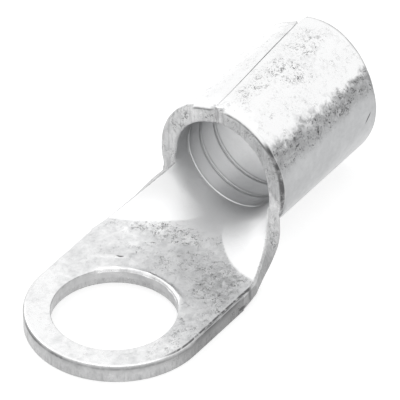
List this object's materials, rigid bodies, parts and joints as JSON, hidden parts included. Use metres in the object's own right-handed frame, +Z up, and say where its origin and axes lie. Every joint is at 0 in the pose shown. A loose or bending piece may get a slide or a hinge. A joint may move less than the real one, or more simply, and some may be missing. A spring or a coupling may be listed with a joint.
{
  "type": "ring terminal",
  "caption": "Bare tin plated copper crimp ring terminal: a flat ring tongue for a stud, a folded neck and a rolled, butt seamed barrel that a bare cable is crimped in.",
  "frame": {"origin": "on the stud hole's axis, in the plane of the tongue's flat underside", "axes": "+X from the ring towards the wire entry along the barrel, +Z up through the stud hole, +Y to the left when looking along +X"},
  "size_m": [0.046, 0.0192, 0.0155],
  "materials": {
    "tinned_copper": "bright electro-tin plate over copper, blotchy satin with fine dark specks and scratches"
  },
  "bodies": {
    "root": {"ring_terminal": "tinned_copper"}
  },
  "joints": []
}
